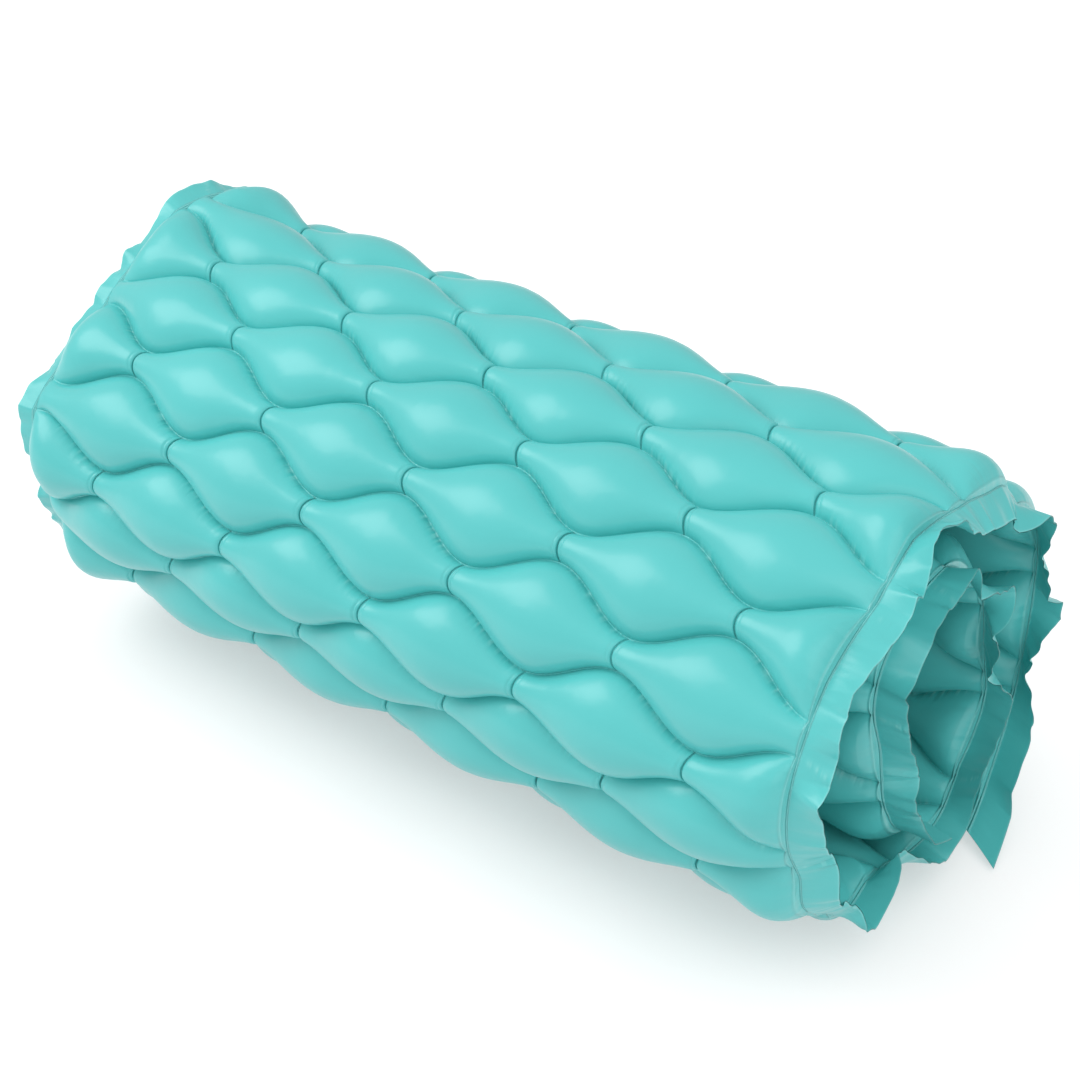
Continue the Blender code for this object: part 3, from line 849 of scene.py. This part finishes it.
guide = STEM_RADIUS + STEM_RUNNING_GAP
cap_base = STEM_HEIGHT + PLUG_GAP
spigot = STEM_BORE_RADIUS - PLUG_GAP
ring = np.linspace(0, 1, CAP_RINGS)
dome = zip(ring * CAP_RADIUS, cap_base + CAP_THICKNESS + CAP_BULGE * (1 - ring**2))
valve_pieces = [
    turned("valve_flange_looks", [
        (FLANGE_RADIUS, FLANGE_THICKNESS),
        (FLANGE_RADIUS, 0),
        (guide, 0),
        (guide, FLANGE_THICKNESS),
    ], panel(VALVE_CHANNEL + 1)),
    turned("valve_stem_looks", [
        (LIP_RADIUS, STEM_HEIGHT),
        (LIP_RADIUS, STEM_HEIGHT - LIP_THICKNESS),
        (STEM_RADIUS, STEM_HEIGHT - LIP_THICKNESS),
        (STEM_RADIUS, -STEM_DEPTH),
        (STEM_BORE_RADIUS, -STEM_DEPTH),
        (STEM_BORE_RADIUS, STEM_HEIGHT),
    ], "valve_stem"),
    turned("valve_plug_looks", [
        *dome,
        (CAP_RADIUS, cap_base),
        (spigot, cap_base),
        (spigot, STEM_HEIGHT - PLUG_DEPTH),
        (0, STEM_HEIGHT - PLUG_DEPTH),
    ], "valve_plug"),
]
print("valve at", tuple(round(v, 3) for v in valve_frame().translation))

# %% [markdown]
# The vinyl is a smooth, satin-gloss film of one turquoise. Its colour shifts a little from place
# to place. Along the seams, where they climb the way that faces the light, a thin row of paler
# ticks is a painted highlight, and short puckers run off the seam to both sides. The end welds
# stand up as a thin double line, and the hem's cut edge is pale too. The bottom of a crease is a
# fine dark line of painted shade. Each of these is a bell curve of a distance: from the nearest
# seam, from the end weld, from the free edge or from the crease. A line's pair of values is its
# width in metres and its strength as a share.

# %% Vinyl
TURQUOISE = (0.120, 0.630, 0.622, 1)
PALE = (0.330, 0.800, 0.780, 1)
SHADE_CHANGE = 0.06
VINYL_ROUGHNESS = 0.30
ROUGHNESS_CHANGE = 0.08
# width and strength of the painted highlight ticks along the seams
SEAM_HIGHLIGHT_LINE = (0.0022, 0.85)
TICK_CONTRAST = (0.47, 5.0)
END_LINE = (0.0008, 0.40)
RIM_LINE = (0.0008, 0.50)
LINE_APART = 0.0021
BLOTCHES_PER_METRE = 9.0
BLOTCH_DETAIL = 3.0
WAVES_PER_METRE = 45.0
WAVINESS_DETAIL = 2.0
WAVINESS_BUMP = 0.0006
PUCKER_STRETCH = (300.0, 28.0, 1.0)
PUCKER_REACH = 0.0050
PUCKER_BUMP = 0.0012
GATHER_STRETCH = (18.0, 95.0, 1.0)
GATHER_REACH = 0.016
GATHER_BUMP = 0.0016
LINE_BUMP = 0.0011
# painted shade at the bottom of the creases: its dark colour, then the line's width and strength
PAINTED_CREASE_SHADE = (0.030, 0.290, 0.290, 1)
CREASE_GROOVE_AND_SHADE = (0.00050, 0.45)
CREASE_BUMP = 0.0012
MIX_COLOUR_INPUTS = (6, 7)
MIX_COLOUR_OUTPUT = 2


def add_node(tree, kind, **values):
    """A node with some of its input sockets set by name, where _ stands for a space."""
    node = tree.nodes.new(kind)
    for key, value in values.items():
        node.inputs[key.replace("_", " ")].default_value = value
    return node


def math_node(tree, operation, one, other=0.0):
    """A math node on two inputs, each a socket or a number."""
    node = tree.nodes.new("ShaderNodeMath")
    node.operation = operation
    for socket, value in zip(node.inputs, (one, other)):
        if isinstance(value, (int, float)):
            socket.default_value = value
        else:
            tree.links.new(value, socket)
    return node.outputs[0]


def noise_on(tree, coordinates, scale, detail):
    """A noise pattern's value on some coordinates."""
    node = add_node(tree, "ShaderNodeTexNoise", Scale=scale, Detail=detail)
    tree.links.new(coordinates, node.inputs["Vector"])
    return node.outputs["Fac"]


def bell(tree, distance, width):
    """One where the distance is nothing, falling away over the width."""
    share = math_node(tree, "DIVIDE", distance, width)
    square = math_node(tree, "MULTIPLY", share, share)
    return math_node(tree, "EXPONENT", math_node(tree, "MULTIPLY", square, -1.0))


def mix_colours(tree, share, one, other):
    """A colour mix whose share is a socket."""
    node = tree.nodes.new("ShaderNodeMix")
    node.data_type = "RGBA"
    tree.links.new(share, node.inputs["Factor"])
    for number, value in zip(MIX_COLOUR_INPUTS, (one, other)):
        if isinstance(value, tuple):
            node.inputs[number].default_value = value
        else:
            tree.links.new(value, node.inputs[number])
    return node.outputs[MIX_COLOUR_OUTPUT]


def mark(tree, key):
    """The value of one of the mesh's own marks."""
    node = tree.nodes.new("ShaderNodeAttribute")
    node.attribute_name = key
    return node.outputs["Fac"]


def film_distances(tree):
    """The film's UVs, which are x and s, and two distances in metres: from the end weld's two
    lines and from the side hem's free edge."""
    uv = tree.nodes.new("ShaderNodeUVMap")
    uv.uv_map = "film"
    parts = tree.nodes.new("ShaderNodeSeparateXYZ")
    tree.links.new(uv.outputs[0], parts.inputs[0])
    reach = math_node(tree, "ABSOLUTE", parts.outputs[0])
    far_end = math_node(tree, "LESS_THAN", parts.outputs[0], 0.0)
    weld = math_node(tree, "MULTIPLY", far_end, FAR_WELD_SHIFT)
    weld = math_node(tree, "ADD", weld, HALF_SPAN)
    from_weld = math_node(tree, "ABSOLUTE", math_node(tree, "SUBTRACT", reach, weld))
    from_line = math_node(tree, "ABSOLUTE", math_node(tree, "SUBTRACT", from_weld, LINE_APART / 2))
    from_rim = math_node(tree, "SUBTRACT", EDGE, reach)
    return uv.outputs[0], from_line, from_rim


def streaks(tree, uv, stretch):
    """Noise that is stretched on the film."""
    stretched = tree.nodes.new("ShaderNodeVectorMath")
    stretched.operation = "MULTIPLY"
    stretched.inputs[1].default_value = stretch
    tree.links.new(uv, stretched.inputs[0])
    return noise_on(tree, stretched.outputs[0], 1.0, 1.0)


def puckers(tree, uv, stretch, distance, reach):
    """Streaks across a weld, strongest at the weld."""
    return math_node(tree, "MULTIPLY", streaks(tree, uv, stretch), bell(tree, distance, reach))


def bumps(tree, heights):
    """A chain of bump nodes, one for each pair of a height socket and its size in metres."""
    normal = None
    for height, size in heights:
        bump = add_node(tree, "ShaderNodeBump", Distance=size)
        tree.links.new(height, bump.inputs["Height"])
        if normal:
            tree.links.new(normal, bump.inputs["Normal"])
        normal = bump.outputs["Normal"]
    return normal


def shades(tree, at):
    """The turquoise, a little darker or lighter from place to place."""
    dark = tuple(v * (1 - SHADE_CHANGE) for v in TURQUOISE[:3]) + (1,)
    light = tuple(v * (1 + SHADE_CHANGE) for v in TURQUOISE[:3]) + (1,)
    blotches = noise_on(tree, at, BLOTCHES_PER_METRE, BLOTCH_DETAIL)
    return mix_colours(tree, blotches, dark, light)


def painted_seam_highlight(tree, uv, seam_far, slope):
    """The painted highlight along the seams: sharpened pale streaks near a seam,
    where it climbs the way that faces the light.
    """
    ticks = math_node(tree, "SUBTRACT", streaks(tree, uv, PUCKER_STRETCH), TICK_CONTRAST[0])
    ticks = math_node(tree, "MULTIPLY", ticks, TICK_CONTRAST[1])
    ticks.node.use_clamp = True
    paleness = math_node(tree, "MULTIPLY", ticks, bell(tree, seam_far, SEAM_HIGHLIGHT_LINE[0]))
    paleness = math_node(tree, "MULTIPLY", paleness, slope)
    return math_node(tree, "MULTIPLY", paleness, SEAM_HIGHLIGHT_LINE[1])


def crease_groove_and_shade_line(tree):
    """A fine line along each crease, as strong as the crease is. It shapes the groove's bump
    and its painted shade.
    """
    line = bell(tree, math_node(tree, "ABSOLUTE", mark(tree, "crease_offset")), CREASE_GROOVE_AND_SHADE[0])
    return math_node(tree, "MULTIPLY", line, mark(tree, "crease_share"))


def uneven_gloss(tree, pattern, roughness):
    """A roughness that changes a little with a noise pattern, from the value given on."""
    return math_node(tree, "ADD", math_node(tree, "MULTIPLY", pattern, ROUGHNESS_CHANGE), roughness)


def new_shader(name):
    """A new material, its tree, its Principled shader and the Object coordinates."""
    material = bpy.data.materials.new(name)
    material.use_nodes = True
    tree = material.node_tree
    at = tree.nodes.new("ShaderNodeTexCoord").outputs["Object"]
    return material, tree, tree.nodes["Principled BSDF"], at


def vinyl(name):
    """Turquoise film with pale lines at its welds and rims, a painted highlight of pale ticks
    where the seams face the light, puckers along the seams, painted shade as dark lines in its
    creases, and slight changes of shade, gloss and level."""
    material, tree, shader, at = new_shader(name)
    uv, from_line, from_rim = film_distances(tree)
    seam_far, slope = mark(tree, "seam_distance"), mark(tree, "seam_slope")
    end_line, rim_line = bell(tree, from_line, END_LINE[0]), bell(tree, from_rim, RIM_LINE[0])
    # painted highlight: pale ticks where the seams face the light
    paleness = painted_seam_highlight(tree, uv, seam_far, slope)
    for line, share in ((end_line, END_LINE[1]), (rim_line, RIM_LINE[1])):
        paleness = math_node(tree, "MAXIMUM", paleness, math_node(tree, "MULTIPLY", line, share))
    crease = crease_groove_and_shade_line(tree)
    # painted shade: the crease's bottom is darkened
    depth = math_node(tree, "MULTIPLY", crease, CREASE_GROOVE_AND_SHADE[1])
    colour = mix_colours(tree, paleness, shades(tree, at), PALE)
    tree.links.new(mix_colours(tree, depth, colour, PAINTED_CREASE_SHADE), shader.inputs["Base Color"])
    waviness = noise_on(tree, at, WAVES_PER_METRE, WAVINESS_DETAIL)
    gloss = uneven_gloss(tree, waviness, VINYL_ROUGHNESS - ROUGHNESS_CHANGE / 2)
    tree.links.new(gloss, shader.inputs["Roughness"])
    seam_puckers = puckers(tree, uv, PUCKER_STRETCH, seam_far, PUCKER_REACH)
    heights = (
        (waviness, WAVINESS_BUMP),
        (end_line, LINE_BUMP),
        (math_node(tree, "MULTIPLY", seam_puckers, slope), PUCKER_BUMP),
        (puckers(tree, uv, GATHER_STRETCH, from_line, GATHER_REACH), GATHER_BUMP),
        (math_node(tree, "SUBTRACT", 1.0, crease), CREASE_BUMP),
    )
    tree.links.new(bumps(tree, heights), shader.inputs["Normal"])
    return material


MILKY = (0.60, 0.79, 0.78, 1)
MILKY_ROUGHNESS = 0.28


def milky_vinyl(name):
    """The valve's soft moulded vinyl, pale and a little uneven in gloss."""
    material, tree, shader, at = new_shader(name)
    shader.inputs["Base Color"].default_value = MILKY
    waviness = noise_on(tree, at, WAVES_PER_METRE, WAVINESS_DETAIL)
    tree.links.new(uneven_gloss(tree, waviness, MILKY_ROUGHNESS), shader.inputs["Roughness"])
    return material


mat_vinyl, valve_vinyl = vinyl("turquoise_vinyl"), milky_vinyl("milky_vinyl")
for item in strips:
    item.data.materials.append(mat_vinyl)
for item in valve_pieces:
    item.data.materials.append(valve_vinyl)
print("vinyl on", len(strips), "strips and", len(valve_pieces), "valve pieces")

# %% [markdown]
# The floor is pale and takes the roll's soft shadow. What the camera sees of it is lifted to
# white by light of its own, which doesn't reach the mat. Close to the mat the lift fades, which
# paints a contact shadow on the floor.

# %% Floor and lights
FLOOR_SIZE = 8.0
FLOOR_COLOUR = (0.80, 0.80, 0.81, 1)
SEEN_FLOOR_COLOUR = (0.50, 0.50, 0.50, 1)
OPEN_LIFT = (0.72, 0.72, 0.72, 1)
# the lift close to the mat, and how far that reaches: a painted contact shadow
PAINTED_SHADOW_LIFT = (0.40, 0.40, 0.40, 1)
PAINTED_SHADOW_REACH = 0.13
WORLD_STRENGTH = 0.60
# each lamp's place is its way from the aim: to the camera's right, up, and towards the camera
KEY_POWER = 32.5
KEY_SIZE = 1.8
KEY_WAY = (-1.9, 2.0, -0.1)
FILL_POWER = 7.0
FILL_SIZE = 1.6
FILL_WAY = (0.6, 0.2, 1.5)


def floor_material():
    """A pale matt floor, with a little added light for camera and mirror rays alone, which
    fades where the mat stands close over the floor, a painted contact shadow."""
    material = bpy.data.materials.new("floor")
    material.use_nodes = True
    tree = material.node_tree
    tree.nodes.clear()
    matt = add_node(tree, "ShaderNodeBsdfDiffuse", Color=FLOOR_COLOUR)
    seen_matt = add_node(tree, "ShaderNodeBsdfDiffuse", Color=SEEN_FLOOR_COLOUR)
    glow = add_node(tree, "ShaderNodeEmission", Strength=1.0)
    openness = add_node(tree, "ShaderNodeAmbientOcclusion", Distance=PAINTED_SHADOW_REACH)
    # painted contact shadow: the lift dims where the mat is close
    lift = mix_colours(tree, openness.outputs["AO"], PAINTED_SHADOW_LIFT, OPEN_LIFT)
    tree.links.new(lift, glow.inputs["Color"])
    both = tree.nodes.new("ShaderNodeAddShader")
    tree.links.new(seen_matt.outputs[0], both.inputs[0])
    tree.links.new(glow.outputs[0], both.inputs[1])
    rays = tree.nodes.new("ShaderNodeLightPath")
    seen = math_node(tree, "MAXIMUM", rays.outputs["Is Camera Ray"], rays.outputs["Is Glossy Ray"])
    seen = math_node(tree, "MAXIMUM", seen, rays.outputs["Is Transmission Ray"])
    mix = tree.nodes.new("ShaderNodeMixShader")
    tree.links.new(seen, mix.inputs[0])
    tree.links.new(matt.outputs[0], mix.inputs[1])
    tree.links.new(both.outputs[0], mix.inputs[2])
    out = tree.nodes.new("ShaderNodeOutputMaterial")
    tree.links.new(mix.outputs[0], out.inputs[0])
    return material


def add_floor():
    """A square floor at z = 0."""
    half = FLOOR_SIZE / 2
    mesh = bpy.data.meshes.new("floor")
    corners = [(-half, -half, 0), (half, -half, 0), (half, half, 0), (-half, half, 0)]
    mesh.from_pydata(corners, [], [(0, 1, 2, 3)])
    item = bpy.data.objects.new("floor", mesh)
    item.data.materials.append(floor_material())
    bpy.context.scene.collection.objects.link(item)
    return item


def add_lamp(name, power, size, way):
    """A square soft lamp that looks at the roll."""
    aside, height, nearer = way
    at = AIM + right * aside + Vector((0, 0, height)) + back * nearer
    data = bpy.data.lights.new(name, "AREA")
    data.energy = power
    data.size = size
    item = bpy.data.objects.new(name, data)
    item.location = at
    item.rotation_euler = (AIM - at).to_track_quat("-Z", "Y").to_euler()
    bpy.context.scene.collection.objects.link(item)
    return item


def world_light():
    """Even pale light from all round, and white where the camera sees past the floor."""
    world = bpy.data.worlds.new("studio")
    world.use_nodes = True
    tree = world.node_tree
    tree.nodes.clear()
    light = add_node(tree, "ShaderNodeBackground", Color=(1, 1, 1, 1), Strength=WORLD_STRENGTH)
    seen = add_node(tree, "ShaderNodeBackground", Color=(1, 1, 1, 1), Strength=1.0)
    rays = tree.nodes.new("ShaderNodeLightPath")
    mix = tree.nodes.new("ShaderNodeMixShader")
    tree.links.new(rays.outputs["Is Camera Ray"], mix.inputs[0])
    tree.links.new(light.outputs[0], mix.inputs[1])
    tree.links.new(seen.outputs[0], mix.inputs[2])
    out = tree.nodes.new("ShaderNodeOutputWorld")
    tree.links.new(mix.outputs[0], out.inputs[0])
    bpy.context.scene.world = world


add_floor()
world_light()
add_lamp("key", KEY_POWER, KEY_SIZE, KEY_WAY)
add_lamp("fill", FILL_POWER, FILL_SIZE, FILL_WAY)
bpy.context.scene.view_settings.view_transform = "Standard"
print("floor, world and two lamps")
